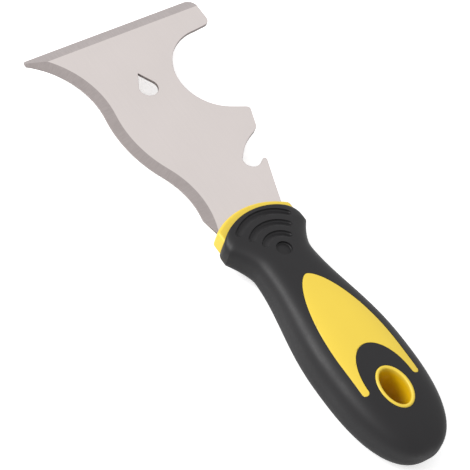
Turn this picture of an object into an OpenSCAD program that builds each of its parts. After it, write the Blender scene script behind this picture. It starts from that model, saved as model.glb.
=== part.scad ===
// Painter's multi tool: a stamped scraper blade in a two-colour moulded handle.
// Millimetres. The origin is the centre of the hanging eye, in the middle plane of the blade.
// +Y runs towards the scraping edge, +Z out of the bevelled face, +X towards the roller notch.

/* [Blade] */
// Distance from the hanging eye to the scraping edge
blade_reach = 180.4; // [170:0.1:200]
// Thickness of the blade plate
blade_t = 1.2; // [1:0.1:3]
// From the tool's axis to the tip of the opening point
point_x = 36; // [33:0.1:38]
// From the tool's axis to the heel beside the roller notch
heel_x = 39.3; // [36:0.1:45]
// Radius of the heel's outer corner
heel_r = 3.5; // [1:0.1:5]
// Length of the heel, along the tool
heel_l = 13; // [9:0.1:16]
// Radius of the lip corner under the heel
lip_r = 3; // [1:0.1:4]
// Rounding of the opening point
point_r = 1.2; // [0.3:0.1:2]

/* [Ground edges] */
// Width of the bevel along the scraping edge
edge_bevel_w = 4; // [2:0.1:7]
// Width of the bevel along the curved left edge
side_bevel_w = 4.1; // [2:0.1:7]
// Thickness of steel left at the ground edges
edge_land = 0.4; // [0.1:0.1:1]

/* [Left edge] */
// Radius of the hollow under the opening point
upper_hollow_r = 32.7; // [25:0.1:45]
// Radius of the swell in the middle of the left edge
swell_r = 50; // [40:0.5:60]
// Radius of the hollow above the collar
lower_hollow_r = 32.5; // [25:0.1:45]
// How far the swell's centre lies right of the axis
swell_x = 26.9; // [24:0.1:30]
// Distance from the scraping edge back to the swell's centre
swell_back = 43.8; // [39.4:0.1:48.4]
// Where the swell hands over to the upper hollow
upper_join_a = 169.9; // [165:0.1:175]
// Where the swell hands over to the lower hollow
lower_join_a = 206.6; // [200:0.1:212]
// Distance from the scraping edge back to the corner where the lower hollow ends
hollow_end_back = 88.4; // [85.4:0.1:91.4]

/* [Roller notch] */
// Radius of the notch that wipes a paint roller
roller_r = 19; // [15:0.1:21]
// How far the notch's centre lies right of the axis
roller_x = 31.5; // [29:0.1:34]
// Drop of the lip from its corner to the notch
lip_rise = 0.8; // [0:0.1:2]
// Direction in which the notch runs out on its shoulder
notch_end_a = 243; // [235:1:250]
// From the axis to the outer corner of the shoulder
shoulder_x = 30.1; // [27:0.1:33]
// Distance from the scraping edge back to the outer corner of the shoulder
shoulder_back = 53; // [51.4:0.1:56.4]
// Radius of the shoulder corner
shoulder_r = 1.5; // [0.5:0.1:3]
// How far the shoulder's side leans in on its way to the hooked notch
brow_in = 3.2; // [2.5:0.1:4]
// Length of the shoulder's side, along the tool
brow_l = 8.8; // [8:0.1:9.5]
// Rounding where the shoulder's side meets the hooked notch
brow_r = 2; // [0.5:0.1:2.5]

/* [Hooked notch] */
// Radius of the long curve above the hook
hook_curve_r = 24.3; // [20:0.1:28]
// How far that curve's centre lies right of the axis
hook_curve_x = 33.4; // [31:0.1:36]
// Distance from the scraping edge back to that curve's centre
hook_curve_back = 86.1; // [84.4:0.1:88.4]
// Radius of the pocket behind the hook
pocket_r = 3.5; // [2.5:0.1:4]
// How far the pocket lies right of the axis
pocket_x = 16.6; // [16:0.1:17.5]
// Distance from the scraping edge back to the pocket
pocket_back = 73.5; // [72.4:0.1:74.4]
// From the axis to the hook's tip, before rounding
hook_x = 22.6; // [22:0.1:24]
// Distance from the scraping edge back to the hook's tip, before rounding
hook_back = 73.6; // [72.4:0.1:74.4]
// Rounding of the hook's tip
hook_r = 0.9; // [0.4:0.1:1.2]

/* [Nail hole] */
// Radius of the round end of the nail hole
nail_r = 3.65; // [2.5:0.05:5]
// Distance from the scraping edge back to the nail hole
nail_back = 29.8; // [22.4:0.1:40.4]
// From the round end's centre to the point of the teardrop
nail_point = 7.3; // [6:0.1:10]

/* [Tang] */
// Half the blade's width at the tang's shoulders, inside the collar
neck_half = 12.7; // [11:0.1:13]
// Width of the tang inside the handle
tang_w = 17; // [12:0.5:20]
// Distance from the eye to the tang's shoulders
tang_shoulder_y = 79; // [77:0.1:81]
// Distance from the eye to the tang's end
tang_end_y = 28; // [20:1:45]
// Radius of the tang's end corners
tang_r = 3; // [1:0.5:6]
// Diameter of the tang pins
pin_d = 4; // [3:0.1:5]
// Play of the pins in the tang's holes, all round
pin_play = 0.05; // [0:0.01:0.2]
// Distance from the eye to the front tang pin
front_pin_y = 71; // [69:0.5:73]
// Distance between the two tang pins
pin_pitch = 12.5; // [9:0.5:14]

/* [Handle] */
// Distance from the hanging eye to the butt
butt_l = 24.6; // [22:0.1:30]
// Width across the palm swell
palm_w = 35.4; // [32:0.1:42]
// Distance from the eye to the widest place of the palm swell
palm_y = 13.4; // [8:0.1:24]
// Thickness through the palm swell
palm_t = 20.6; // [18:0.1:26]
// Distance from the eye to the thickest place of the palm swell
palm_t_y = 20; // [15:0.1:28]
// Width across the neck, behind the thumb pad
neck_w = 23.5; // [22:0.1:28]
// Distance from the eye to the neck
neck_y = 63; // [58:0.1:66]
// Width across the head
head_w = 34.4; // [32.5:0.1:36]
// Thickness through the head
head_t = 13.4; // [12:0.1:14.5]
// Distance from the eye to the head's front, on the axis
head_y = 85; // [82:0.1:87]
// Radius of the head's curved front
head_front_r = 24; // [21:0.1:30]
// Radius of the head's front corners
head_corner_r = 4; // [1:0.1:5]
// Thickness of the soft grip over the hard core
grip_wall = 2.2; // [1.5:0.1:3]

/* [Collar] */
// Width of the collar
collar_w = 32; // [28:0.1:33]
// Thickness of the collar
collar_t = 8; // [6:0.1:10]
// How far the collar stands out of the grip, on the axis
collar_out = 3.5; // [2.5:0.05:6]
// Radius of the collar's curved front
collar_front_r = 27.2; // [24:0.1:32]
// Radius of the collar's end corners
collar_corner_r = 1.6; // [0.5:0.1:2]

/* [Windows] */
// Width of the window in the grip
window_w = 24.4; // [18:0.1:28]
// Distance from the eye to the window's widest place
window_y = 14.6; // [10:0.1:20]
// Length of the window's tapering front
window_l = 38.2; // [30:0.1:42]
// Width of the tongue of grip that reaches into the window
tongue_w = 18.8; // [14:0.1:22]
// Length of that tongue
tongue_l = 16.1; // [10:0.1:20]
// Distance from the eye to the tongue's widest place
tongue_y = 2.6; // [0:0.1:6]

/* [Hanging eye] */
// Width of the eye's opening
eye_w = 9.3; // [6:0.1:12]
// Length of the eye's opening
eye_l = 14.6; // [8:0.1:16]
// Wall of the tube around the eye
eye_wall = 1.4; // [0.8:0.1:2]
// How far the eye's rim stands out of the grip
eye_proud = 0.3; // [0.1:0.05:0.8]

/* [Thumb pad] */
// Distance from the eye to the pad's dimple
pad_y = 66.1; // [64:0.1:68]
// Radius of the dimple
dimple_r = 3; // [2:0.1:3.5]
// Distance from one groove to the next
groove_pitch = 4.7; // [4.2:0.1:4.9]
// Width of each groove
groove_w = 2.3; // [1:0.1:2.6]
// Depth of the grooves and the dimple
groove_depth = 0.7; // [0.3:0.05:1]
// Angle that each groove spans
groove_span = 100; // [60:5:120]
// Number of grooves
grooves = 3; // [1:1:3]

/* [Hidden] */

steel = [0.80, 0.78, 0.77];
pin_steel = [0.62, 0.62, 0.64];
yellow = [0.96, 0.83, 0.33];
black = [0.20, 0.20, 0.21];

$fn = 96;
cut = 0.5;                      // overlap of cutters past the faces that they cut
arc_step = 4;                   // degrees between points on outline arcs
palm_stations = 17;             // cross-sections from the butt to the neck
flare_stations = 9;             // cross-sections from the neck to the front
around = 32;                    // points around each cross-section
core_stations = 14;             // cross-sections along the hidden part of the core
core_around = 24;               // points around each of them
palm_power = 3.4;               // roundness of the palm's cross-section
butt_flat = 0.2;                // length left off the butt's very end
head_power = 4;                 // squareness of the head's cross-section
butt_power = 2.4;               // roundness of the butt, seen from above
butt_t_power = 3;               // roundness of the butt, seen from the side
flare_power = 1.7;              // how late the neck flares out to the head
taper_power = 1.2;              // how late the palm's width tapers to the neck
ring_power = 1.5;               // how closely the cross-sections crowd towards the butt
least_half = 0.05;              // least half-width of a cross-section
window_power = 0.62;            // roundness of the window's tapering front
window_steps = 20;              // points on each side of that front
bar_steps = 8;                  // points on each side of the core's bar, in the flare
bar_reach = 1;                  // how far the core's bar runs into the collar
past = 10;                      // how far the straight grinding cutter runs past the blade
low_run = 20;                   // degrees that the curved cutter runs on below the lower hollow
high_run = 10;                  // degrees that it runs on above the opening point
hook_brow_a = 111;              // direction in which the hook's long curve meets the shoulder's side
hook_pocket_a = 143;            // direction in which that curve hands over to the pocket
pocket_end_a = 310;             // direction in which the pocket runs out under the hook
pin_step = 1;                   // room left at the front pin, and least overlap of the core's body and bar

grind = blade_t - edge_land;    // depth of the ground bevels
roller_y = blade_reach - heel_l - lip_rise - roller_r;
pin_r = pin_d / 2;
rear_pin_y = front_pin_y - pin_pitch;
head_centre_y = head_y - head_front_r;
collar_y = head_y + collar_out;
body_end_y = front_pin_y - pin_r - pin_step;
bar_y = min(neck_y, body_end_y - pin_step);
collar_centre_y = collar_y - collar_front_r;

function polar(r, a) = [r * cos(a), r * sin(a)];
function unit(v) = v / norm(v);

// Points on an arc about c, from angle a0 to a1.
function arc(c, r, a0, a1) =
    let (n = ceil(abs(a1 - a0) / arc_step))
    [for (i = [0 : n]) c + polar(r, a0 + (a1 - a0) * i / n)];

// The corner p rounded to radius r, between its neighbours p0 and p1.
function corner(p0, p, p1, r) =
    let (
        u = unit(p0 - p),
        v = unit(p1 - p),
        half = acos(u * v) / 2,
        c = p + unit(u + v) * r / sin(half),
        s = p + u * r / tan(half) - c,
        e = p + v * r / tan(half) - c,
        a0 = atan2(s.y, s.x),
        turn = atan2(e.y, e.x) - a0,
        short = turn > 180 ? turn - 360 : turn < -180 ? turn + 360 : turn
    )
    arc(c, r, a0, a0 + short);

// ---- blade ----

swell_c = [swell_x, blade_reach - swell_back];
upper_c = swell_c + polar(swell_r + upper_hollow_r, upper_join_a);
lower_c = swell_c + polar(swell_r + lower_hollow_r, lower_join_a);
roller_c = [roller_x, roller_y];
nail_c = [0, blade_reach - nail_back];
hook_c = [hook_curve_x, blade_reach - hook_curve_back];
pocket_c = [pocket_x, blade_reach - pocket_back];

left_top = [-point_x, blade_reach];
upper_end_a = acos((-point_x - upper_c.x) / upper_hollow_r);
hollow_end_a = asin((blade_reach - hollow_end_back - lower_c.y) / lower_hollow_r);
hollow_end = lower_c + polar(lower_hollow_r, hollow_end_a);
notch_end = roller_c + polar(roller_r, notch_end_a);
shoulder = [shoulder_x, blade_reach - shoulder_back];
brow = shoulder - [brow_in, brow_l];
hook_tip = [hook_x, blade_reach - hook_back];
neck_right = [neck_half, tang_shoulder_y];
neck_left = [-neck_half, tang_shoulder_y];

// The blade with its tang, which the socket in the core shares.
module blade_outline() {
    side = tang_w / 2;
    heel_corner = [heel_x, blade_reach];
    lip_corner = [heel_x, blade_reach - heel_l];
    notch_start = roller_c + [0, roller_r];
    hook_curve = arc(hook_c, hook_curve_r, hook_brow_a, hook_pocket_a);
    pocket = arc(pocket_c, pocket_r, hook_pocket_a, pocket_end_a);
    upper_hollow = arc(upper_c, upper_hollow_r, upper_join_a - 180, upper_end_a);
    polygon(concat(
        corner(left_top, heel_corner, lip_corner, heel_r),
        corner(heel_corner, lip_corner, notch_start, lip_r),
        [notch_start, notch_end],
        corner(notch_end, shoulder, brow, shoulder_r),
        corner(shoulder, brow, hook_curve[0], brow_r),
        hook_curve,
        pocket,
        corner(pocket[len(pocket) - 1], hook_tip, neck_right, hook_r),
        [neck_right, [side, tang_shoulder_y]],
        corner([side, tang_shoulder_y], [side, tang_end_y], [-side, tang_end_y], tang_r),
        corner([side, tang_end_y], [-side, tang_end_y], [-side, tang_shoulder_y], tang_r),
        [[-side, tang_shoulder_y], neck_left, hollow_end],
        arc(lower_c, lower_hollow_r, hollow_end_a, lower_join_a - 180),
        arc(swell_c, swell_r, lower_join_a, upper_join_a),
        upper_hollow,
        corner(upper_hollow[len(upper_hollow) - 1], left_top, heel_corner, point_r)
    ));
}

module teardrop() {
    a = acos(nail_r / nail_point);
    translate(nail_c) {
        circle(r = nail_r);
        polygon([[0, nail_point], polar(nail_r, 90 + a), polar(nail_r, 90 - a)]);
    }
}

function tail(v) = [for (i = [1 : len(v) - 1]) v[i]];

// The left edge's line, moved outwards from the blade, and run on past both its ends.
function side_line(out) = concat(
    arc(lower_c, lower_hollow_r - out, hollow_end_a - low_run, lower_join_a - 180),
    tail(arc(swell_c, swell_r + out, lower_join_a, upper_join_a)),
    tail(arc(upper_c, upper_hollow_r - out, upper_join_a - 180, upper_end_a + high_run))
);

// A wedge swept along the left edge, which grinds its bevel.
module side_grind() {
    slope = grind / side_bevel_w;
    land_z = edge_land - blade_t / 2;
    top_z = blade_t / 2 + cut;
    rows = [
        [for (p = side_line(1)) [p.x, p.y, land_z - slope]],
        [for (p = side_line(-(top_z - land_z) / slope)) [p.x, p.y, top_z]],
        [for (p = side_line(1)) [p.x, p.y, top_z]]
    ];
    n = len(rows[0]);
    sides = [for (r = [0 : 2], i = [0 : n - 2])
        let (
            p = r * n + i,
            q = (r + 1) % 3 * n + i
        )
        each [[p, q, q + 1], [p, q + 1, p + 1]]];
    polyhedron(
        concat(rows[0], rows[1], rows[2]),
        concat([[0, 2 * n, n]], sides, [[n - 1, 2 * n - 1, 3 * n - 1]])
    );
}

module edge_grind() {
    run = edge_bevel_w / grind;
    top = grind + cut;
    translate([-point_x - past, blade_reach, edge_land - blade_t / 2])
        rotate([90, 0, 90])
            linear_extrude(point_x + heel_x + 2 * past)
                polygon([[0, 0], [-run * top, top], [past, top], [past, 0]]);
}

module blade() {
    color(steel)
        difference() {
            translate([0, 0, -blade_t / 2])
                linear_extrude(blade_t)
                    difference() {
                        blade_outline();
                        translate(roller_c) circle(r = roller_r);
                        teardrop();
                        for (y = [front_pin_y, rear_pin_y])
                            translate([0, y]) circle(r = pin_r + pin_play);
                    }
            side_grind();
            edge_grind();
        }
}

// ---- handle shape ----

butt_y = -butt_l;
side_y = head_centre_y + sqrt(pow(head_front_r, 2) - pow(head_w / 2, 2));
flare_y = side_y - head_corner_r;

function ease(t) = (1 - cos(180 * min(max(t, 0), 1))) / 2;
function dome(t, n) = pow(max(1 - pow(t, n), 0), 1 / n);

// Half the handle's width at y.
function half_w(y) =
    let (
        taper = ease(pow(max(y - palm_y, 0) / (neck_y - palm_y), taper_power)),
        flare = pow(min(max(y - neck_y, 0) / (flare_y - neck_y), 1), flare_power)
    )
    y < palm_y ? palm_w / 2 * dome((palm_y - y) / (palm_y - butt_y), butt_power)
    : y < neck_y ? palm_w / 2 + (neck_w - palm_w) / 2 * taper
    : neck_w / 2 + (head_w - neck_w) / 2 * flare;

// Half the handle's thickness at y.
function half_t(y) =
    y < palm_t_y ? palm_t / 2 * dome((palm_t_y - y) / (palm_t_y - butt_y), butt_t_power)
    : palm_t / 2 + (head_t - palm_t) / 2 * ease((y - palm_t_y) / (head_y - palm_t_y));

// How square the cross-section is at y.
function power_at(y) = palm_power + (head_power - palm_power) * ease((y - neck_y) / (flare_y - neck_y));

// One cross-section of count points, made smaller by inset all round.
function section(y, inset, count) =
    let (
        a = max(half_w(y) - inset, least_half),
        b = max(half_t(y) - inset, least_half),
        n = 2 / power_at(y)
    )
    [for (i = [0 : count - 1])
        let (s = 360 * (i + 0.5) / count)
        [a * sign(cos(s)) * pow(abs(cos(s)), n), y, b * sign(sin(s)) * pow(abs(sin(s)), n)]];

// Places of n cross-sections from y0 to y1, closer together at the butt.
function palm_rings(n, y0, y1) = [for (k = [0 : n - 1]) y0 + (y1 - y0) * pow(k / (n - 1), ring_power)];

// The same, run on evenly through the flare to the front.
function full_rings(y1) = concat(
    palm_rings(palm_stations, butt_y + butt_flat, neck_y),
    [for (k = [1 : flare_stations]) neck_y + (y1 - neck_y) * k / flare_stations]
);

// A skin through the handle's cross-sections at each y in rings.
module handle_body(rings, inset, count) {
    points = [for (y = rings) each section(y, inset, count)];
    last = (len(rings) - 1) * count;
    sides = [for (k = [0 : len(rings) - 2], i = [0 : count - 1])
        let (
            j = (i + 1) % count,
            p = k * count
        )
        each [[p + i, p + j, p + count + j], [p + i, p + count + j, p + count + i]]];
    polyhedron(
        points,
        concat(
            [[for (i = [count - 1 : -1 : 0]) i]],
            sides,
            [[for (i = [0 : count - 1]) last + i]]
        )
    );
}

// The head's curved front with its rounded corners, over a strip wider than the palm.
module head_outline() {
    a = acos((head_w / 2 - head_corner_r) / (head_front_r - head_corner_r));
    c = [0, head_centre_y];
    knuckle = c + polar(head_front_r - head_corner_r, a);
    polygon(concat(
        arc([knuckle.x, knuckle.y], head_corner_r, 0, a),
        arc(c, head_front_r, a, 180 - a),
        arc([-knuckle.x, knuckle.y], head_corner_r, 180 - a, 180),
        [[-palm_w, knuckle.y], [-palm_w, 2 * butt_y], [palm_w, 2 * butt_y], [palm_w, knuckle.y]]
    ));
}

module grip_shape() {
    intersection() {
        handle_body(full_rings(head_y + 1), 0, around);
        through() head_outline();
    }
}

module ellipse(w, l) {
    polygon([for (a = [0 : arc_step : 360 - arc_step]) [w / 2 * cos(a), l / 2 * sin(a)]]);
}

// The window's outline: a tapering front over two prongs beside the grip's tongue.
module window_outline() {
    prong_w = (window_w - tongue_w) / 2;
    taper = [for (i = [0 : window_steps])
        let (t = i / window_steps)
        [window_w / 2 * pow(1 - t * t, window_power), window_y + window_l * t]];
    difference() {
        union() {
            polygon(concat(
                [[window_w / 2, tongue_y]],
                taper,
                [for (i = [window_steps - 1 : -1 : 0]) [-taper[i].x, taper[i].y]],
                [[-window_w / 2, tongue_y]]
            ));
            for (s = [-1, 1])
                translate([s * (window_w - prong_w) / 2, tongue_y]) circle(d = prong_w);
        }
        translate([0, tongue_y]) {
            ellipse(tongue_w, 2 * tongue_l);
        }
    }
}

module through(h = 2 * palm_t) {
    translate([0, 0, -h / 2]) linear_extrude(h) children();
}

// ---- handle core ----

module collar_outline() {
    side = collar_w / 2;
    front = collar_centre_y + sqrt(pow(collar_front_r, 2) - side * side);
    back = head_centre_y + sqrt(pow(head_front_r, 2) - side * side);
    a = acos((side - collar_corner_r) / collar_front_r);
    difference() {
        polygon(concat(
            arc([0, collar_centre_y], collar_front_r, a, 180 - a),
            corner([-side, front], [-side, back], [0, back], collar_corner_r),
            corner([0, back], [side, back], [side, front], collar_corner_r)
        ));
        translate([0, head_centre_y]) circle(r = head_front_r);
    }
}

// The flat bar of the core that runs through the head and carries the collar.
module core_bar_outline() {
    side = head_w / 2 - grip_wall;
    front_r = head_front_r + bar_reach;
    a = acos(side / front_r);
    edge = [for (i = [0 : bar_steps])
        let (y = bar_y + (flare_y - bar_y) * i / bar_steps)
        [half_w(y) - grip_wall, y]];
    polygon(concat(
        edge,
        arc([0, head_centre_y], front_r, a, 180 - a),
        [for (i = [bar_steps : -1 : 0]) [-edge[i].x, edge[i].y]]
    ));
}

// What the grip covers of the core: its body and its bar.
module core_inside() {
    rings = palm_rings(core_stations, butt_y + grip_wall + butt_flat, body_end_y);
    handle_body(rings, grip_wall, core_around);
    through(collar_t) core_bar_outline();
}

module eye_tube_outline() {
    ellipse(eye_w + 2 * eye_wall, eye_l + 2 * eye_wall);
}

// The lands that fill the windows, flush with the grip.
module window_lands() {
    intersection() {
        handle_body(palm_rings(palm_stations, butt_y + butt_flat, neck_y), 0, around);
        through() window_outline();
    }
}

module eye_tube() {
    intersection() {
        handle_body(palm_rings(palm_stations, butt_y + butt_flat, neck_y), -eye_proud, around);
        through() eye_tube_outline();
    }
}

module handle_core() {
    color(yellow)
        difference() {
            union() {
                core_inside();
                through(collar_t) collar_outline();
                window_lands();
                eye_tube();
            }
            through() ellipse(eye_w, eye_l);
            through(blade_t) blade_outline();
            for (y = [front_pin_y, rear_pin_y])
                translate([0, y, -palm_t]) cylinder(h = 2 * palm_t, r = pin_r);
        }
}

// ---- tang pins ----

module tang_pin(y, length) {
    color(pin_steel)
        translate([0, y, -length / 2]) cylinder(h = length, r = pin_r);
}

// The front pin is as long as the core's flat bar is thick.
module front_tang_pin() {
    tang_pin(front_pin_y, collar_t);
}

// The rear pin stands in the core's body, which is thinner towards the head.
module rear_tang_pin() {
    tang_pin(rear_pin_y, 2 * (half_t(rear_pin_y + pin_r) - grip_wall));
}

// ---- grip ----

// One groove of the thumb pad, cut to its depth under the handle's own surface.
module groove(k) {
    r = k * groove_pitch + dimple_r / 2;
    floor_z = half_t(pad_y + r) - groove_depth;
    translate([0, pad_y, floor_z])
        rotate([0, 0, 90 - groove_span / 2])
            rotate_extrude(angle = groove_span)
                translate([r - groove_w / 2, 0]) square([groove_w, palm_t]);
}

module thumb_pad() {
    translate([0, pad_y, half_t(pad_y) - groove_depth]) cylinder(h = palm_t, r = dimple_r);
    for (k = [1 : grooves])
        groove(k);
}

module grip() {
    color(black)
        difference() {
            grip_shape();
            core_inside();
            through() window_outline();
            through() eye_tube_outline();
            thumb_pad();
            mirror([0, 0, 1]) thumb_pad();
        }
}

blade();
handle_core();
front_tang_pin();
rear_tang_pin();
grip();
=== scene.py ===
import math

import bmesh
import bpy
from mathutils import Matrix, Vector


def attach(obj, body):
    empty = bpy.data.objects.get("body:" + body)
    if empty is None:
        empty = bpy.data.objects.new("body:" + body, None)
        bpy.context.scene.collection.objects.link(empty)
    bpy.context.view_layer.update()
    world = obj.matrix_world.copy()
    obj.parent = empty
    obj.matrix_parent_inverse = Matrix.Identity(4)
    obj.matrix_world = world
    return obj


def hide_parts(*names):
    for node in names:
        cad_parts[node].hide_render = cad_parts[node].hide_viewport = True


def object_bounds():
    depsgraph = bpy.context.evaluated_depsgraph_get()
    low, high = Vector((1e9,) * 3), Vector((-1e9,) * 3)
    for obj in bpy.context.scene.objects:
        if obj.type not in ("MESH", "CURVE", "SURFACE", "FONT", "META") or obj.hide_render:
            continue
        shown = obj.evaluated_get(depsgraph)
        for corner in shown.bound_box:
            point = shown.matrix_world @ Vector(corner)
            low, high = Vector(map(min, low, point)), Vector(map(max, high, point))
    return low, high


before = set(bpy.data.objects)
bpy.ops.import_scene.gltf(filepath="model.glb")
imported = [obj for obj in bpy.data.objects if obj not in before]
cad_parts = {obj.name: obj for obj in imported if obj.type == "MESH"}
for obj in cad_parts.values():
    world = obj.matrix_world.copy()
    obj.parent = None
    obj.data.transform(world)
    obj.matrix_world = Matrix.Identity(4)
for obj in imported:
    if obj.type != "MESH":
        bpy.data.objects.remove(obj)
cad_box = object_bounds()


# ---- Scraper blade ----
# A plate of stainless spring steel, stamped to its outline and brushed along its length.
# The scraping edge and the curved left edge are ground on one face, and the stamped rims
# are eased a little in the tumbler.

MM = 0.001
BLADE_T, RIM_EASE = 1.2 * MM, 0.1 * MM
FLAT_RISE, GROUND_RISE = 0.996, 0.55        # a normal's least z on the flats and on the ground faces
SMALLEST_GROUND = 0.5 * MM * MM             # smaller faces belong to a rim
SATIN_SHADES = ((0.66, 0.608, 0.59, 1), (0.72, 0.662, 0.645, 1))
BRUSH_MARK = (0.45, 0.41, 0.40, 1)
# The ground faces are darker than the flat partly from their grind and partly as painted shade; the curved
# edge faces the lamp and is painted darker still.
SCRAPING_GRIND_AND_PAINTED_SHADE = ((0.355, 0.318, 0.313, 1), (0.64, 0.583, 0.574, 1))
CURVED_GRIND_AND_PAINTED_SHADE = ((0.27, 0.238, 0.232, 1), (0.53, 0.475, 0.465, 1))
# The upright rims are dark partly from the tearing and partly as painted shade.
SHEARED_RIM_AND_PAINTED_SHADE = ((0.20, 0.175, 0.17, 1), (0.36, 0.32, 0.31, 1))
FLAT, SCRAPING, CURVED, SHEARED = range(4)  # the blade's material slots


def only(piece):
    """Selects one piece and makes it the active one."""
    if bpy.context.mode != "OBJECT":
        bpy.ops.object.mode_set(mode="OBJECT")
    bpy.ops.object.select_all(action="DESELECT")
    piece.select_set(True)
    bpy.context.view_layer.objects.active = piece
    return piece


def copy_of(source, name):
    """A merged copy of a CAD node of flat faces, with its own mesh."""
    piece = bpy.data.objects.new(name, source.data.copy())
    bpy.context.scene.collection.objects.link(piece)
    piece.data.name = name
    piece.data.materials.clear()
    only(piece)
    bpy.ops.object.mode_set(mode="EDIT")
    bpy.ops.mesh.select_all(action="SELECT")
    bpy.ops.mesh.remove_doubles(threshold=0.001 * MM)
    bpy.ops.mesh.dissolve_limited(angle_limit=math.radians(0.3))
    bpy.ops.object.mode_set(mode="OBJECT")
    return piece


def ease_edges(piece, width, angle, segments=2):
    """Rounds every edge sharper than the angle."""
    only(piece)
    bevel = piece.modifiers.new("ease", "BEVEL")
    bevel.width = width
    bevel.segments = segments
    bevel.limit_method = "ANGLE"
    bevel.angle_limit = math.radians(angle)
    bevel.use_clamp_overlap = False
    bevel.miter_outer = "MITER_ARC"
    bpy.ops.object.modifier_apply(modifier="ease")


def smooth(piece, angle):
    """Shades smoothly, with the large faces ruling the shade at their rims."""
    only(piece)
    bpy.ops.object.shade_smooth_by_angle(angle=math.radians(angle))
    weighted = piece.modifiers.new("weighted", "WEIGHTED_NORMAL")
    weighted.keep_sharp = True
    weighted.weight = 90
    bpy.ops.object.modifier_apply(modifier="weighted")


class Value:
    """A shader socket that takes part in sums."""

    def __init__(self, tree, socket):
        self.tree, self.socket = tree, socket

    def combine(self, operation, first, second):
        return node(self.tree, "ShaderNodeMath", {"operation": operation}, {0: first, 1: second})

    def __add__(self, other):
        return self.combine("ADD", self, other)

    def __radd__(self, other):
        return self.combine("ADD", other, self)

    def __sub__(self, other):
        return self.combine("SUBTRACT", self, other)

    def __rsub__(self, other):
        return self.combine("SUBTRACT", other, self)

    def __mul__(self, other):
        return self.combine("MULTIPLY", self, other)

    def __rmul__(self, other):
        return self.combine("MULTIPLY", other, self)


def node(tree, kind, settings=None, sockets=None, out=0):
    """Adds a shader node, sets it, feeds its sockets and returns one of its outputs."""
    made = tree.nodes.new(kind)
    for key, value in (settings or {}).items():
        setattr(made, key, value)
    for key, value in (sockets or {}).items():
        if isinstance(value, Value):
            tree.links.new(value.socket, made.inputs[key])
        else:
            made.inputs[key].default_value = value
    return Value(tree, made.outputs[out])


def finish_of(name, metallic=0.0, roughness=0.5, specular=0.5):
    """A material with its tree and its Principled shader."""
    material = bpy.data.materials.new(name)
    material.use_nodes = True
    tree = material.node_tree
    shader = next(n for n in tree.nodes if n.type == "BSDF_PRINCIPLED")
    shader.inputs["Metallic"].default_value = metallic
    shader.inputs["Roughness"].default_value = roughness
    shader.inputs["Specular IOR Level"].default_value = specular
    return material, tree, shader


def feed(tree, shader, name, value):
    """Links a value to one of the shader's sockets."""
    tree.links.new(value.socket, shader.inputs[name])


def place(tree, scale=(1, 1, 1), source="Object"):
    """The piece's own coordinates, stretched for a pattern."""
    coordinates = node(tree, "ShaderNodeTexCoord", out=source)
    return node(tree, "ShaderNodeMapping", sockets={"Vector": coordinates, "Scale": scale})


def noise(tree, at, scale, detail=3.0, roughness=0.5):
    """A cloudy pattern from 0 to 1."""
    return node(tree, "ShaderNodeTexNoise", sockets={
        "Vector": at, "Scale": scale, "Detail": detail, "Roughness": roughness})


def mix(tree, factor, a, b):
    """One colour or another, by the factor."""
    return node(tree, "ShaderNodeMix", {"data_type": "RGBA"}, {0: factor, 6: a, 7: b}, out=2)


def bump(tree, shader, height, strength, distance):
    """Raises the surface by the height, in the shading alone."""
    raised = node(tree, "ShaderNodeBump", sockets={
        "Strength": strength, "Distance": distance, "Height": height})
    feed(tree, shader, "Normal", raised)


def satin_steel():
    """The flat of the blade: fine brushing along its length under a satin lustre."""
    material, tree, shader = finish_of("satin_blade_steel", metallic=1.0)
    brushing = noise(tree, place(tree, (1, 0.03, 1)), scale=2600.0, detail=4.0, roughness=0.6)
    cloud = noise(tree, place(tree), scale=28.0, detail=2.0)
    lustre = mix(tree, cloud, *SATIN_SHADES)
    feed(tree, shader, "Base Color", mix(tree, brushing * 0.10, lustre, BRUSH_MARK))
    feed(tree, shader, "Roughness", 0.36 + 0.12 * brushing)
    bump(tree, shader, brushing, strength=0.08, distance=0.02 * MM)
    return material


def ground_steel_with_painted_shade(name, dark, light):
    """A ground face: scratches across the edge, which leave it rougher. Its darker colour is partly the grind
    and partly painted shade, for a tilted face that reflects less of the light.
    """
    material, tree, shader = finish_of(name, metallic=1.0)
    scratches = noise(tree, place(tree, (1, 0.12, 1), "UV"), scale=2.0, detail=5.0, roughness=0.8)
    patches = noise(tree, place(tree), scale=160.0, detail=2.0)
    scratched = mix(tree, scratches, dark, light)
    feed(tree, shader, "Base Color", mix(tree, patches * 0.3, scratched, dark))
    feed(tree, shader, "Roughness", 0.30 + 0.16 * scratches)
    bump(tree, shader, scratches, strength=0.25, distance=0.03 * MM)
    return material


def sheared_steel_with_painted_shade():
    """The stamped rims: torn steel, rough, and darker than the faces, partly from the tearing and partly as
    painted shade on the upright walls.
    """
    material, tree, shader = finish_of("sheared_rim_steel_painted_shade", metallic=1.0)
    torn = noise(tree, place(tree, (1, 1, 0.15)), scale=1500.0, roughness=0.6)
    feed(tree, shader, "Base Color", mix(tree, torn, *SHEARED_RIM_AND_PAINTED_SHADE))
    feed(tree, shader, "Roughness", 0.45 + 0.2 * torn)
    return material


def blade_slot(face):
    """The material slot of one of the blade's faces."""
    if abs(face.normal.z) >= FLAT_RISE:
        return FLAT
    if face.normal.z <= GROUND_RISE or face.area <= SMALLEST_GROUND:
        return SHEARED
    return SCRAPING if face.normal.y > abs(face.normal.x) else CURVED


blade = copy_of(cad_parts["blade"], "scraper_blade")
ease_edges(blade, RIM_EASE, angle=25)
blade.data.materials.append(satin_steel())
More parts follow.
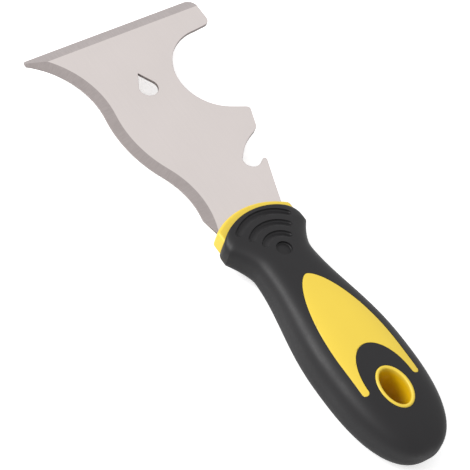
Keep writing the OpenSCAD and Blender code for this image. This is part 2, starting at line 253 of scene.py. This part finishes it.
# Two copies of the ground finish: the curved edge's copy is painted darker, as shade against the lamp's
# light.
blade.data.materials.append(ground_steel_with_painted_shade("scraping_edge_steel_painted_shade", *SCRAPING_GRIND_AND_PAINTED_SHADE))
blade.data.materials.append(ground_steel_with_painted_shade("curved_edge_steel_painted_shade", *CURVED_GRIND_AND_PAINTED_SHADE))
blade.data.materials.append(sheared_steel_with_painted_shade())
across_edge = blade.data.uv_layers.new(name="along_and_across_edge")
for face in blade.data.polygons:
    face.material_index = blade_slot(face)
    out = face.normal.xy.normalized()
    for loop in face.loop_indices:
        at = blade.data.vertices[blade.data.loops[loop].vertex_index].co.xy / MM
        across_edge.data[loop].uv = (at.x * out.y - at.y * out.x, at.dot(out))
smooth(blade, angle=7)
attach(blade, "root")
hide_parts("blade")


# ---- Handle core ----
# The hard core is one moulding of yellow polypropylene around the tang. It shows as the
# collar in front of the grip, as two lands in the grip's windows and as the tube of the
# hanging eye.

BUTT_Y = -24.42 * MM
PALM_Y, PALM_W = 13.4 * MM, 35.4 * MM
PALM_T_Y, PALM_T = 20 * MM, 20.6 * MM
NECK_Y, NECK_W = 63 * MM, 23.5 * MM
HEAD_Y, HEAD_W, HEAD_T = 85 * MM, 34.4 * MM, 13.4 * MM
HEAD_FRONT_R, HEAD_CORNER_R = 24 * MM, 4 * MM
HEAD_CENTRE_Y = HEAD_Y - HEAD_FRONT_R
FLARE_Y = HEAD_CENTRE_Y + math.sqrt(HEAD_FRONT_R ** 2 - (HEAD_W / 2) ** 2) - HEAD_CORNER_R
GRIP_WALL = 2.2 * MM
PALM_POWER, HEAD_POWER = 3.4, 4             # the section is a superellipse of this power
BUTT_POWER, BUTT_T_POWER = 2.4, 3
TAPER_POWER, FLARE_POWER = 1.2, 1.7
BUTT_TURNS = (2, *range(5, 90, 3))          # degrees, for the rings round the butt
RING_STEP, AROUND = 1.1 * MM, 96
THROUGH = 2 * PALM_T                        # half the height of a tool that cuts right through
TINY = 0.01 * MM

WINDOW_W, WINDOW_Y, WINDOW_L = 24.4 * MM, 14.6 * MM, 38.2 * MM
WINDOW_POWER = 0.62
TONGUE_W, TONGUE_Y, TONGUE_L = 18.8 * MM, 2.6 * MM, 16.1 * MM
LAND_GAP, LAND_EASE, LAND_MERGE = 0.06 * MM, 0.22 * MM, 0.12 * MM
EYE_W, EYE_L, EYE_WALL, EYE_PROUD = 9.3 * MM, 14.6 * MM, 1.4 * MM, 0.28 * MM
COLLAR_W, COLLAR_T, COLLAR_OUT = 32 * MM, 8 * MM, 3.5 * MM
COLLAR_FRONT_R, COLLAR_CORNER_R, COLLAR_EASE = 27.2 * MM, 1.6 * MM, 1.1 * MM
COLLAR_CENTRE_Y = HEAD_Y + COLLAR_OUT - COLLAR_FRONT_R
BODY_END_Y = 68 * MM
BAR_STEPS, BAR_LAP = 8, 1 * MM              # the bar and the collar run into each other by the lap
TANG_W, TANG_R, TANG_END_Y = 17 * MM, 3 * MM, 28 * MM
SHOULDER_W, SHOULDER_Y = 25.4 * MM, 79 * MM
PAST_COLLAR_Y, PAST_COLLAR_X = 92 * MM, (-15.29 * MM, 17.33 * MM)   # the blade's sides beyond the collar
PIN_R, FRONT_PIN_Y, PIN_PITCH = 2 * MM, 71 * MM, 12.5 * MM

YELLOW_SHADES = ((0.70, 0.508, 0.046, 1), (0.74, 0.542, 0.054, 1))
# Painted shade: the yellow inside the eye's tube is darkened with depth, as the shade that falls there.
EYE_PAINTED_SHADE_YELLOW = (0.71, 0.45, 0.002, 1)
EYE_PAINTED_SHADE_Z, EYE_PAINTED_SHADE_DEPTH = 9.8, 2.2     # millimetres: the height below which the eye's yellow is darkened as painted shade, and the depth over which that painted shade comes in
EYE_PAINTED_SHADE_EDGE = 0.2525                     # a little more than the square of a half: just past the wall


def eased(t):
    """From 0 to 1 with a soft start and end."""
    return (1 - math.cos(math.pi * min(max(t, 0), 1))) / 2


def dome(t, power):
    """From 1 at t = 0 down to 0 at t = 1, along a superellipse."""
    return max(1 - max(t, 0) ** power, 0) ** (1 / power)


def half_width(y):
    """Half the handle's width at y."""
    if y < PALM_Y:
        return PALM_W / 2 * dome((PALM_Y - y) / (PALM_Y - BUTT_Y), BUTT_POWER)
    if y < NECK_Y:
        taper = ((y - PALM_Y) / (NECK_Y - PALM_Y)) ** TAPER_POWER
        return PALM_W / 2 + (NECK_W - PALM_W) / 2 * eased(taper)
    return NECK_W / 2 + (HEAD_W - NECK_W) / 2 * min((y - NECK_Y) / (FLARE_Y - NECK_Y), 1) ** FLARE_POWER


def half_thickness(y):
    """Half the handle's thickness at y."""
    if y < PALM_T_Y:
        return PALM_T / 2 * dome((PALM_T_Y - y) / (PALM_T_Y - BUTT_Y), BUTT_T_POWER)
    return PALM_T / 2 + (HEAD_T - PALM_T) / 2 * eased((y - PALM_T_Y) / (HEAD_Y - PALM_T_Y))


def squareness(y):
    """The power of the section at y."""
    return PALM_POWER + (HEAD_POWER - PALM_POWER) * eased((y - NECK_Y) / (FLARE_Y - NECK_Y))


def surface_z(x, y):
    """Height of the handle's top surface over the point x, y."""
    power = squareness(y)
    inside = max(1 - abs(x / half_width(y)) ** power, 0)
    return half_thickness(y) * inside ** (1 / power)


def new_piece(name, add, **settings):
    """Adds a primitive with nothing else selected, and names it."""
    bpy.ops.object.select_all(action="DESELECT")
    add(**settings)
    piece = bpy.context.object
    piece.name = piece.data.name = name
    return piece


def extrude_ring(move):
    """Extrudes the selected faces in edit mode."""
    bpy.ops.mesh.extrude_region_move(TRANSFORM_OT_translate={"value": move})


def face_outwards():
    """Turns all faces of the closed piece in edit mode outwards, and leaves edit mode."""
    bpy.ops.mesh.select_all(action="SELECT")
    bpy.ops.mesh.normals_make_consistent(inside=False)
    bpy.ops.object.mode_set(mode="OBJECT")


def handle_blank(name, end_y, inset=0.0, more=0):
    """A closed skin of the handle's shape from the butt to end_y, extruded ring by ring.

    More rings follow a metre apart, for the caller to put in place."""
    start = BUTT_Y + inset
    rings = [PALM_Y - (PALM_Y - start) * math.cos(math.radians(turn)) for turn in BUTT_TURNS]
    count = math.ceil((end_y - PALM_Y) / RING_STEP)
    rings += [PALM_Y + (end_y - PALM_Y) * k / count for k in range(count + 1)]
    rings += [end_y + k for k in range(1, more + 1)]
    piece = new_piece(
        name, bpy.ops.mesh.primitive_circle_add, vertices=AROUND, radius=1, fill_type="TRIFAN",
        location=(0, rings[0], 0), rotation=(math.pi / 2, 0, 0))
    bpy.ops.object.transform_apply(location=True, rotation=True, scale=True)
    bpy.ops.object.mode_set(mode="EDIT")
    bpy.ops.mesh.select_all(action="SELECT")
    for here, there in zip(rings, rings[1:]):
        extrude_ring((0, there - here, 0))
    face_outwards()
    for v in piece.data.vertices:
        x, y, z = v.co
        reach = (abs(x) ** squareness(y) + abs(z) ** squareness(y)) ** (1 / squareness(y)) or 1
        spread = math.hypot(x, z) / reach
        wide = max(half_width(y) - inset, 2 * TINY)
        thick = max(half_thickness(y) - inset, 2 * TINY)
        v.co = (x * spread * wide, y, z * spread * thick)
    return piece


def arc(cx, cy, radius, start, end, step=3):
    """Points on an arc, with the angles in degrees."""
    count = max(1, math.ceil(abs(end - start) / step))
    turns = [math.radians(start + (end - start) * k / count) for k in range(count + 1)]
    return [(cx + radius * math.cos(a), cy + radius * math.sin(a)) for a in turns]


def oval(width, length):
    """The outline of an ellipse about the origin."""
    turns = [math.radians(a) for a in range(0, 360, 5)]
    return [(width / 2 * math.cos(a), length / 2 * math.sin(a)) for a in turns]


def prism(name, outline, half_height):
    """A flat plate of the outline, as thick on both sides of the middle plane."""
    outline = [p for p, q in zip(outline, outline[-1:] + outline) if math.dist(p, q) > TINY]
    piece = new_piece(
        name, bpy.ops.mesh.primitive_circle_add, vertices=len(outline), radius=1, fill_type="NGON")
    for v, (x, y) in zip(piece.data.vertices, outline):
        v.co = (x, y, -half_height)
    bpy.ops.object.mode_set(mode="EDIT")
    bpy.ops.mesh.select_all(action="SELECT")
    extrude_ring((0, 0, 2 * half_height))
    face_outwards()
    return piece


def carve(piece, tool, operation="DIFFERENCE"):
    """Cuts the tool from the piece, joins the two, or leaves what they share."""
    only(piece)
    change = piece.modifiers.new("carve", "BOOLEAN")
    change.operation = operation
    change.object = tool
    change.solver = "EXACT"
    bpy.ops.object.modifier_apply(modifier="carve")
    bpy.data.objects.remove(tool)
    return piece


def merge_close(piece, threshold):
    """Merges the vertices that lie closer than the threshold."""
    only(piece)
    bpy.ops.object.mode_set(mode="EDIT")
    bpy.ops.mesh.select_all(action="SELECT")
    bpy.ops.mesh.remove_doubles(threshold=threshold)
    bpy.ops.object.mode_set(mode="OBJECT")


def window_outline(shrink=0.0):
    """The window: a tapering front over two prongs, with the grip's tongue between them."""
    prong = (WINDOW_W - TONGUE_W) / 4
    half = WINDOW_W / 2
    steps = [math.sin(math.radians(a)) for a in range(0, 91, 3)]
    right = [(half * (1 - t * t) ** WINDOW_POWER, WINDOW_Y + WINDOW_L * t) for t in steps]
    left = [(-x, y) for x, y in reversed(right[:-1])]
    turns = [math.radians(180 - 4 * k) for k in range(1, 45)]
    tongue = [(TONGUE_W / 2 * math.cos(a), TONGUE_Y + TONGUE_L * math.sin(a)) for a in turns]
    outline = (
        right + left + arc(prong - half, TONGUE_Y, prong, 180, 360, 15) + tongue
        + arc(half - prong, TONGUE_Y, prong, 180, 360, 15)[:-1])
    moved = []
    for k, (x, y) in enumerate(outline):
        (ax, ay), (bx, by) = outline[k - 1], outline[(k + 1) % len(outline)]
        length = math.hypot(bx - ax, by - ay)
        moved.append((x - (by - ay) / length * shrink, y + (bx - ax) / length * shrink))
    return moved


def core_body():
    """The part of the core that the grip covers: the palm's body and the flat bar in the head."""
    body = handle_blank("core_body", BODY_END_Y, GRIP_WALL)
    edge = [NECK_Y + (FLARE_Y - NECK_Y) * k / BAR_STEPS for k in range(BAR_STEPS + 1)]
    right = [(half_width(y) - GRIP_WALL, y) for y in edge]
    front_r = HEAD_FRONT_R + BAR_LAP
    reach = math.degrees(math.acos(right[-1][0] / front_r))
    front = arc(0, HEAD_CENTRE_Y, front_r, reach, 180 - reach)
    bar = prism("core_bar", right + front + [(-x, y) for x, y in reversed(right)], COLLAR_T / 2)
    return carve(body, bar, "UNION")


def collar():
    """The collar: a bowed bar with rounded ends, which butts against the grip's front."""
    half = COLLAR_W / 2
    corner = half - COLLAR_CORNER_R
    bow_r = COLLAR_FRONT_R - COLLAR_CORNER_R
    turn = math.degrees(math.acos(corner / bow_r))
    knuckle_y = COLLAR_CENTRE_Y + bow_r * math.sin(math.radians(turn))
    back_y = HEAD_CENTRE_Y + math.sqrt(HEAD_FRONT_R ** 2 - half ** 2) - BAR_LAP
    outline = (
        arc(corner, back_y + COLLAR_CORNER_R, COLLAR_CORNER_R, -90, 0, 15)
        + arc(corner, knuckle_y, COLLAR_CORNER_R, 0, turn, 15)
        + arc(0, COLLAR_CENTRE_Y, COLLAR_FRONT_R, turn, 180 - turn)
        + arc(-corner, knuckle_y, COLLAR_CORNER_R, 180 - turn, 180, 15)
        + arc(-corner, back_y + COLLAR_CORNER_R, COLLAR_CORNER_R, 180, 270, 15))
    piece = prism("collar", outline, COLLAR_T / 2)
    ease_edges(piece, COLLAR_EASE, angle=50, segments=5)
    return piece


def eye_rim():
    """The tube round the eye: a straight wall with a rounded bead that follows each face."""
    ring = 0.25
    piece = new_piece(
        "eye_tube", bpy.ops.mesh.primitive_torus_add,
        major_segments=72, minor_segments=24, major_radius=1, minor_radius=ring)
    bead = EYE_WALL / 2
    for v in piece.data.vertices:
        turn = math.atan2(v.co.y, v.co.x)
        c, s = math.cos(turn), math.sin(turn)
        height = surface_z(EYE_W / 2 * c, EYE_L / 2 * s) + EYE_PROUD - bead
        across = (math.hypot(v.co.x, v.co.y) - 1) / ring
        up = v.co.z / ring
        middle = height if up > -0.01 else -height
        wall = bead + across * bead
        v.co = ((EYE_W / 2 + wall) * c, (EYE_L / 2 + wall) * s, middle + up * bead)
    return piece


def tang_slot():
    """The slot that the tang fills, from its rounded end to past the collar."""
    side, shoulder = TANG_W / 2, SHOULDER_W / 2
    corner_y = TANG_END_Y + TANG_R
    left_x, right_x = PAST_COLLAR_X
    outline = (
        arc(side - TANG_R, corner_y, TANG_R, 0, -90, 15) + arc(TANG_R - side, corner_y, TANG_R, -90, -180, 15)
        + [(-side, SHOULDER_Y), (-shoulder, SHOULDER_Y), (left_x, PAST_COLLAR_Y)]
        + [(right_x, PAST_COLLAR_Y), (shoulder, SHOULDER_Y), (side, SHOULDER_Y)])
    return prism("tang_slot", outline, BLADE_T / 2)


def yellow_plastic():
    """Moulded polypropylene: an even yellow with a faint satin grain, and painted shade that deepens the
    yellow inside the eye.
    """
    material, tree, shader = finish_of("yellow_polypropylene", roughness=0.4, specular=0.45)
    cloud = noise(tree, place(tree), scale=45.0, detail=2.0)
    grain = noise(tree, place(tree), scale=2400.0, roughness=0.6)
    plain = mix(tree, cloud, *YELLOW_SHADES)
    at_eye = place(tree, (1 / EYE_W, 1 / EYE_L, 1 / MM))
    x, y, z = (node(tree, "ShaderNodeSeparateXYZ", sockets={"Vector": at_eye}, out=axis) for axis in "XYZ")
    # Painted shade in the eye: a deeper yellow towards the tube's middle height.
    within = node(tree, "ShaderNodeMath", {"operation": "LESS_THAN"}, {0: x * x + y * y, 1: EYE_PAINTED_SHADE_EDGE})
    depth = EYE_PAINTED_SHADE_Z - node(tree, "ShaderNodeMath", {"operation": "ABSOLUTE"}, {0: z})
    painted_eye_shade = node(
        tree, "ShaderNodeMapRange", {"interpolation_type": "SMOOTHSTEP"},
        {0: depth, 1: 0.0, 2: EYE_PAINTED_SHADE_DEPTH, 3: 0.0, 4: 1.0})
    feed(tree, shader, "Base Color", mix(tree, within * painted_eye_shade, plain, EYE_PAINTED_SHADE_YELLOW))
    feed(tree, shader, "Roughness", 0.36 + 0.14 * grain)
    bump(tree, shader, grain, strength=0.12, distance=0.03 * MM)
    return material


core = core_body()
hidden_core = core.copy()
hidden_core.data = core.data.copy()
bpy.context.scene.collection.objects.link(hidden_core)
carve(core, collar(), "UNION")
lands = handle_blank("window_lands", NECK_Y)
carve(lands, prism("land_tool", window_outline(LAND_GAP), THROUGH), "INTERSECT")
merge_close(lands, LAND_MERGE)
ease_edges(lands, LAND_EASE, angle=45)
carve(core, lands, "UNION")
rim = eye_rim()
carve(core, prism("tube_room", oval(EYE_W + EYE_WALL, EYE_L + EYE_WALL), THROUGH))
carve(core, rim, "UNION")
carve(core, tang_slot())
for y in (FRONT_PIN_Y, FRONT_PIN_Y - PIN_PITCH):
    carve(core, prism("pin_hole", arc(0, y, PIN_R, 0, 354, 6), THROUGH))
core.name = core.data.name = "core_moulding"
core.data.materials.clear()
core.data.materials.append(yellow_plastic())
smooth(core, angle=35)
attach(core, "root")
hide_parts("handle_core")


# ---- Tang pins ----
# Two plain steel pins, pressed through the core and the tang before the grip is moulded
# over them, so that the blade can't pull out.

PIN_SHADES = ((0.42, 0.42, 0.44, 1), (0.56, 0.56, 0.58, 1))


def pin_steel():
    """Drawn wire: fine lines along the pin."""
    material, tree, shader = finish_of("drawn_pin_steel", metallic=1.0)
    lines = noise(tree, place(tree, (1, 1, 0.05)), scale=1800.0)
    feed(tree, shader, "Base Color", mix(tree, lines, *PIN_SHADES))
    feed(tree, shader, "Roughness", 0.3 + 0.2 * lines)
    return material


pin_finish = pin_steel()
for name in ("front_tang_pin", "rear_tang_pin"):
    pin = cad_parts[name]
    pin.data.materials.clear()
    pin.data.materials.append(pin_finish)


# ---- Grip ----
# A skin of black thermoplastic rubber, moulded over the core. Each face has a window on
# the core, a tongue that runs round the hanging eye, and a thumb pad with a dimple and
# three arched grooves.

PAD_Y, DIMPLE_R, DIMPLE_DEPTH, DIMPLE_EASE = 65.6 * MM, 3 * MM, 1.2 * MM, 0.4 * MM
GROOVE_START, GROOVE_PITCH, GROOVE_W, GROOVE_DEPTH = 1.9 * MM, 4.95 * MM, 2.9 * MM, 0.9 * MM
GROOVE_SECTION = (                          # shares of the width and of the depth, round the section
    (0.42, 1.2), (0.40, 0.3), (0.36, -0.3), (0.31, -0.75), (0.22, -0.97), (0.10, -1.0), (-0.05, -0.88),
    (-0.25, -0.6), (-0.42, -0.3), (-0.58, 0.0), (-0.72, 0.4), (-0.8, 1.2))
GROOVE_SPANS = (49, 43, 40)                 # degrees on each side of the middle, for each groove
GROOVE_CAP_TURNS = (6, 20, 40, 65)          # degrees, for the rings of a groove's rounded end
GROOVE_STEP = 0.7 * MM
HEAD_START_Y, HEAD_RINGS = 67 * MM, 16
HEAD_EASE = 0.6 * MM
BLACK_SHADES = ((0.0065, 0.006, 0.007, 1), (0.0105, 0.0098, 0.011, 1))


def head_ring(u, across):
    """A point of the head's plan: across runs from side to side, u from the neck to the front."""
    knuckle_x = HEAD_W / 2 - HEAD_CORNER_R
    turn = math.acos(knuckle_x / (HEAD_FRONT_R - HEAD_CORNER_R))
    knuckle_y = HEAD_CENTRE_Y + (HEAD_FRONT_R - HEAD_CORNER_R) * math.sin(turn)
    side_y = HEAD_START_Y + (HEAD_CENTRE_Y + HEAD_FRONT_R * math.sin(turn) - HEAD_START_Y) * u
    side_x = half_width(side_y)
    if side_y > knuckle_y:
        side_x = knuckle_x + math.sqrt(max(HEAD_CORNER_R ** 2 - (side_y - knuckle_y) ** 2, 0))
    x = across * side_x
    bow = math.sqrt(HEAD_FRONT_R ** 2 - x * x) - math.sqrt(HEAD_FRONT_R ** 2 - side_x ** 2)
    return x, side_y + bow * eased(u)


def close_front(piece):
    """Takes off the blank's flat end and closes the head with an upright, bowed wall."""
    only(piece)
    bpy.ops.object.mode_set(mode="EDIT")
    mesh = bmesh.from_edit_mesh(piece.data)
    bmesh.ops.delete(mesh, geom=[v for v in mesh.verts if v.co.y > 1], context="VERTS")
    front = {v for edge in mesh.edges if edge.is_boundary for v in edge.verts}
    top = sorted([v for v in front if v.co.z > TINY], key=lambda v: v.co.x)
    low = sorted([v for v in front if v.co.z < -TINY], key=lambda v: v.co.x)
    ends = sorted([v for v in front if abs(v.co.z) <= TINY], key=lambda v: v.co.x)
    for k in range(len(top) - 1):
        mesh.faces.new((top[k], top[k + 1], low[k + 1], low[k]))
    mesh.faces.new((ends[0], top[0], low[0]))
    mesh.faces.new((ends[1], low[-1], top[-1]))
    bmesh.update_edit_mesh(piece.data)
    face_outwards()


def grip_blank():
    """The handle's shape with its head: the rings bow out to the head's curved front."""
    piece = handle_blank("soft_grip", HEAD_START_Y, more=HEAD_RINGS)
    for v in piece.data.vertices:
        ring = round(v.co.y - HEAD_START_Y)
        if ring < 1 or math.hypot(v.co.x, v.co.z) < 1 * MM:
            continue
        u = ring / HEAD_RINGS
        angle = math.atan2(v.co.z / half_thickness(v.co.y), v.co.x / half_width(v.co.y))
        c, s = math.cos(angle), math.sin(angle)
        power = squareness(HEAD_START_Y + (FLARE_Y - HEAD_START_Y) * u)
        spread = 1 / (abs(c) ** power + abs(s) ** power) ** (1 / power)
        x, y = head_ring(u, c * spread)
        v.co = (x, y, s * spread * half_thickness(y))
    close_front(piece)
    return piece


def groove_tool(k, side):
    """A bar that follows the pad's surface in an arch, to press one groove: a steep wall
    on the side of the blade, and a floor that rises gently towards the dimple."""
    radius = k * GROOVE_PITCH + GROOVE_START
    span = GROOVE_SPANS[k - 1]
    section = [(w * GROOVE_W, h * GROOVE_DEPTH) for w, h in GROOVE_SECTION]
    cap = math.degrees(0.5 * GROOVE_W / radius)
    count = math.ceil(2 * span * math.radians(1) * radius / GROOVE_STEP)
    ends = [(-span - cap * math.cos(a), math.sin(a)) for a in map(math.radians, GROOVE_CAP_TURNS)]
    rings = ends + [(-span + 2 * span * i / count, 1) for i in range(count + 1)]
    rings += [(-angle, scale) for angle, scale in reversed(ends)]
    piece = new_piece(
        "groove_tool", bpy.ops.mesh.primitive_circle_add, vertices=len(section), radius=1,
        fill_type="NGON", rotation=(math.pi / 2, 0, 0))
    bpy.ops.object.transform_apply(location=True, rotation=True, scale=True)
    bpy.ops.object.mode_set(mode="EDIT")
    bpy.ops.mesh.select_all(action="SELECT")
    for _ in rings[1:]:
        extrude_ring((0, 1, 0))
    bpy.ops.object.mode_set(mode="OBJECT")
    for v in piece.data.vertices:
        angle, scale = rings[round(v.co.y)]
        corner = round(math.atan2(v.co.z, v.co.x) / (2 * math.pi) * len(section)) % len(section)
        wide, high = section[corner]
        turn = math.radians(angle)
        out = radius + wide * scale
        x, y = out * math.sin(turn), PAD_Y + out * math.cos(turn)
        rise = high * scale if high < 0 else high
        v.co = (x, y, side * (surface_z(x, y) + rise))
    only(piece)
    bpy.ops.object.mode_set(mode="EDIT")
    face_outwards()
    return piece


def dimple_tool(side):
    """A round stamp with a rounded rim, for the dimple."""
    height = 4 * MM
    middle = surface_z(0, PAD_Y) - DIMPLE_DEPTH + height / 2
    piece = new_piece(
        "dimple_tool", bpy.ops.mesh.primitive_cylinder_add,
        vertices=48, radius=DIMPLE_R, depth=height, location=(0, PAD_Y, side * middle))
    bpy.ops.object.transform_apply(location=True, rotation=True, scale=True)
    ease_edges(piece, DIMPLE_EASE, angle=50, segments=4)
    return piece


def black_rubber():
    """Soft rubber: near black, a dull sheen and a fine matt grain."""
    material, tree, shader = finish_of("black_tpr", specular=0.34)
    cloud = noise(tree, place(tree), scale=60.0)
    grain = noise(tree, place(tree), scale=1500.0, detail=4.0, roughness=0.65)
    wear = noise(tree, place(tree, (1, 0.5, 1)), scale=170.0, detail=4.0, roughness=0.6)
    feed(tree, shader, "Base Color", mix(tree, cloud, *BLACK_SHADES))
    feed(tree, shader, "Roughness", 0.30 + 0.16 * grain + 0.22 * wear)
    bump(tree, shader, grain, strength=0.2, distance=0.05 * MM)
    return material


grip = grip_blank()
ease_edges(grip, HEAD_EASE, angle=50, segments=4)
for side in (1, -1):
    carve(grip, dimple_tool(side))
    for k in range(1, len(GROOVE_SPANS) + 1):
        carve(grip, groove_tool(k, side))
carve(grip, prism("window_tool", window_outline(), THROUGH))
carve(grip, prism("tube_tool", oval(EYE_W + 2 * EYE_WALL, EYE_L + 2 * EYE_WALL), THROUGH))
carve(grip, hidden_core)
grip.data.materials.clear()
grip.data.materials.append(black_rubber())
smooth(grip, angle=35)
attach(grip, "root")
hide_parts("grip")


# ---- Studio ----
# A plain pale floor lies under the tool. The light is an even white sky and one soft lamp,
# which hangs over the blade's left side.

FLOOR_SIZE, FLOOR_DROP = 6, 0.05 * MM
FLOOR_COLOUR, FLOOR_GLOW = (0.9, 0.9, 0.9, 1), (0.47, 0.47, 0.47, 1)    # the glow is for the camera alone
BLACK, WHITE = (0, 0, 0, 1), (1, 1, 1, 1)
SKY_LIGHT = 0.82
LAMP_AT, LAMP_SIZE, LAMP_POWER = Vector((-0.88, 0.66, 0.74)), 0.8, 14.0
CAMERA_AT = (-434.92 * MM, -265.08 * MM, 688.99 * MM)
CAMERA_TURN = (36.788, -12.553, -34.689)    # degrees
CAMERA_LENS, CAMERA_SENSOR = 191.5, 36      # millimetres


def kind_of_ray(tree, kind):
    """1 for rays of the kind, such as those from the camera, and 0 for all others."""
    return node(tree, "ShaderNodeLightPath", out=kind)


def larger(tree, a, b):
    """The larger of two values."""
    return node(tree, "ShaderNodeMath", {"operation": "MAXIMUM"}, {0: a, 1: b})


low, high = cad_box
floor = new_piece(
    "floor", bpy.ops.mesh.primitive_plane_add, size=FLOOR_SIZE, location=(0, 0, low.z - FLOOR_DROP))
pale, tree, shader = finish_of("pale_floor", roughness=0.9, specular=0.0)
shader.inputs["Base Color"].default_value = FLOOR_COLOUR
shader.inputs["Emission Strength"].default_value = 1.0
feed(tree, shader, "Emission Color", mix(tree, kind_of_ray(tree, "Is Camera Ray"), BLACK, FLOOR_GLOW))
floor.data.materials.append(pale)

world = bpy.data.worlds.new("white_sky")
bpy.context.scene.world = world
world.use_nodes = True
tree = world.node_tree
sky = next(n for n in tree.nodes if n.type == "BACKGROUND")
sky.inputs["Color"].default_value = WHITE
seen = larger(tree, kind_of_ray(tree, "Is Camera Ray"), kind_of_ray(tree, "Is Glossy Ray"))
seen = larger(tree, seen, kind_of_ray(tree, "Is Transmission Ray"))
feed(tree, sky, "Strength", seen * (1 - SKY_LIGHT) + SKY_LIGHT)

light = bpy.data.lights.new("key_lamp", "AREA")
light.shape = "DISK"
light.size = LAMP_SIZE
light.energy = LAMP_POWER
lamp = bpy.data.objects.new("key_lamp", light)
bpy.context.scene.collection.objects.link(lamp)
lamp.location = LAMP_AT
lamp.rotation_euler = ((low + high) / 2 - LAMP_AT).to_track_quat("-Z", "Y").to_euler()

camera_data = bpy.data.cameras.new("camera")
camera_data.sensor_width = CAMERA_SENSOR
camera_data.lens = CAMERA_LENS
camera_data.clip_start, camera_data.clip_end = 0.05, 20
camera = bpy.data.objects.new("camera", camera_data)
bpy.context.scene.collection.objects.link(camera)
camera.location = CAMERA_AT
camera.rotation_euler = [math.radians(turn) for turn in CAMERA_TURN]
bpy.context.scene.camera = camera
bpy.context.scene.view_settings.view_transform = "Standard"
